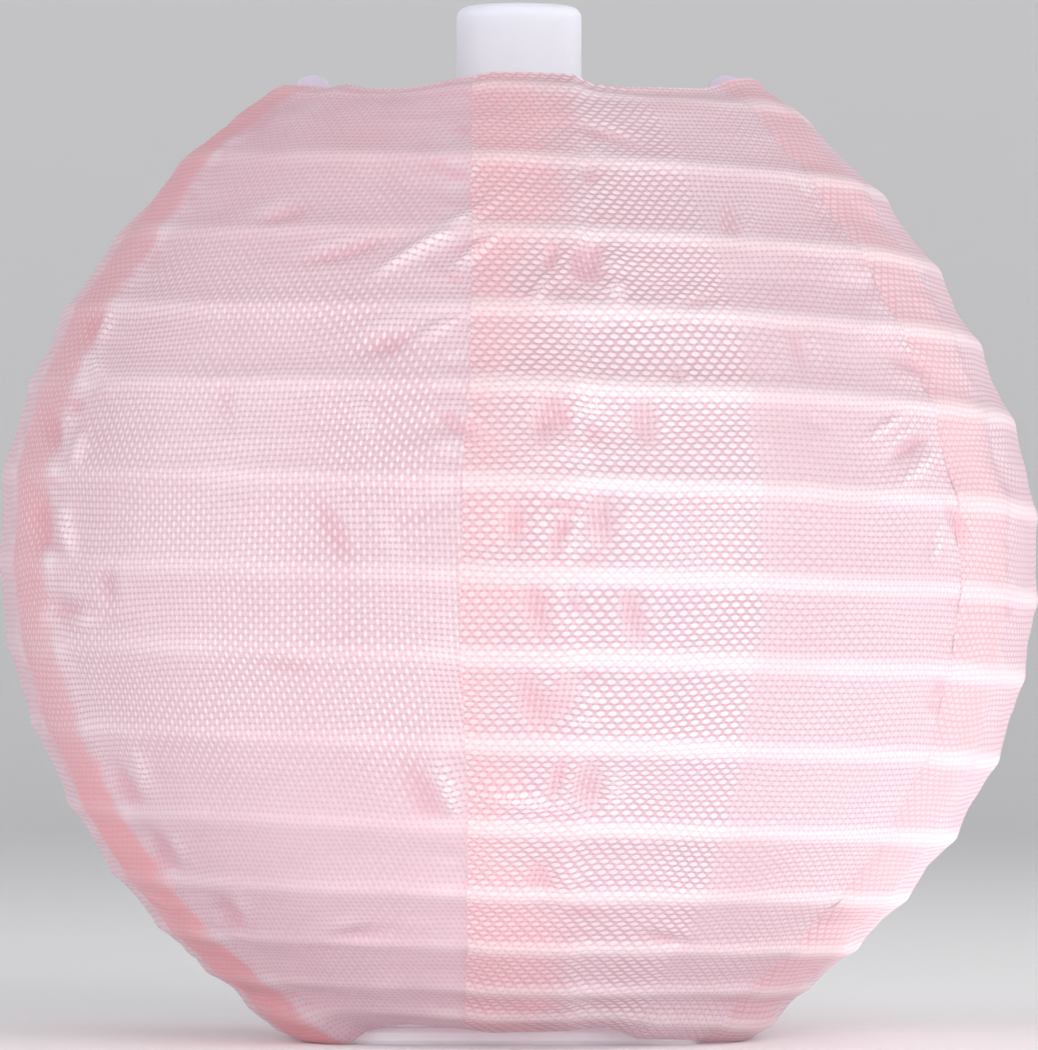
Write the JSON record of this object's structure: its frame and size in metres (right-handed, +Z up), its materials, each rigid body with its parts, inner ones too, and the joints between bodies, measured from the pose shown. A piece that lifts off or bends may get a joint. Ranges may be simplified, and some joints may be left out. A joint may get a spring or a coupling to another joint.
{
  "type": "lantern",
  "caption": "Small round lantern: a sheer pink cloth shade on a spiral wire, spread by a moulded inner frame, with a button-cell light capsule standing in its top opening.",
  "frame": {"origin": "on the lantern's axis, at the underside of the foot plate", "axes": "+Z up along the axis; -Y is the front, where one lap seam runs just left of centre; the frame's two legs stand at +X and -X"},
  "size_m": [0.076, 0.0769, 0.0759],
  "materials": {
    "shade_cloth": "sheer plain-woven, slightly glossy",
    "coated_wire": "white coating",
    "frame_plastic": "satin",
    "milky_plastic": "milky, translucent",
    "seal_rubber": "matte",
    "plated_steel": "plated",
    "brass_strip": "plain",
    "led_epoxy": "clear"
  },
  "bodies": {
    "frame": {"foot_plate": "frame_plastic", "leg_left": "frame_plastic", "leg_right": "frame_plastic", "lamp_bridge": "frame_plastic", "top_ring": "coated_wire", "shade_panel_1": "shade_cloth", "shade_panel_2": "shade_cloth", "shade_panel_3": "shade_cloth", "shade_panel_4": "shade_cloth", "shade_panel_5": "shade_cloth", "shade_panel_6": "shade_cloth", "spiral_rib": "coated_wire"},
    "shade_foot": {"bottom_ring": "coated_wire"},
    "lamp": {"lamp_plug": "milky_plastic", "seal_ring": "seal_rubber", "button_cell_1": "plated_steel", "button_cell_2": "plated_steel", "button_cell_3": "plated_steel", "side_contact": "brass_strip", "led": "led_epoxy", "led_lead_short": "plated_steel", "led_lead_long": "plated_steel"},
    "lamp_cap": {"lamp_sleeve": "milky_plastic", "contact_spring": "plated_steel"}
  },
  "joints": [
    {"name": "shade_gather", "type": "slide", "parent": "frame", "child": "shade_foot", "axis": [0, 0, 1], "range_m": [0, 0.055], "deforming": ["shade_panel_1", "shade_panel_2", "shade_panel_3", "shade_panel_4", "shade_panel_5", "shade_panel_6", "spiral_rib"]},
    {"name": "lamp_lift", "type": "slide", "parent": "frame", "child": "lamp", "axis": [0, 0, 1], "range_m": [0, 0.03]},
    {"name": "cap_lift", "type": "slide", "parent": "lamp", "child": "lamp_cap", "axis": [0, 0, 1], "range_m": [0, 0.015]}
  ]
}
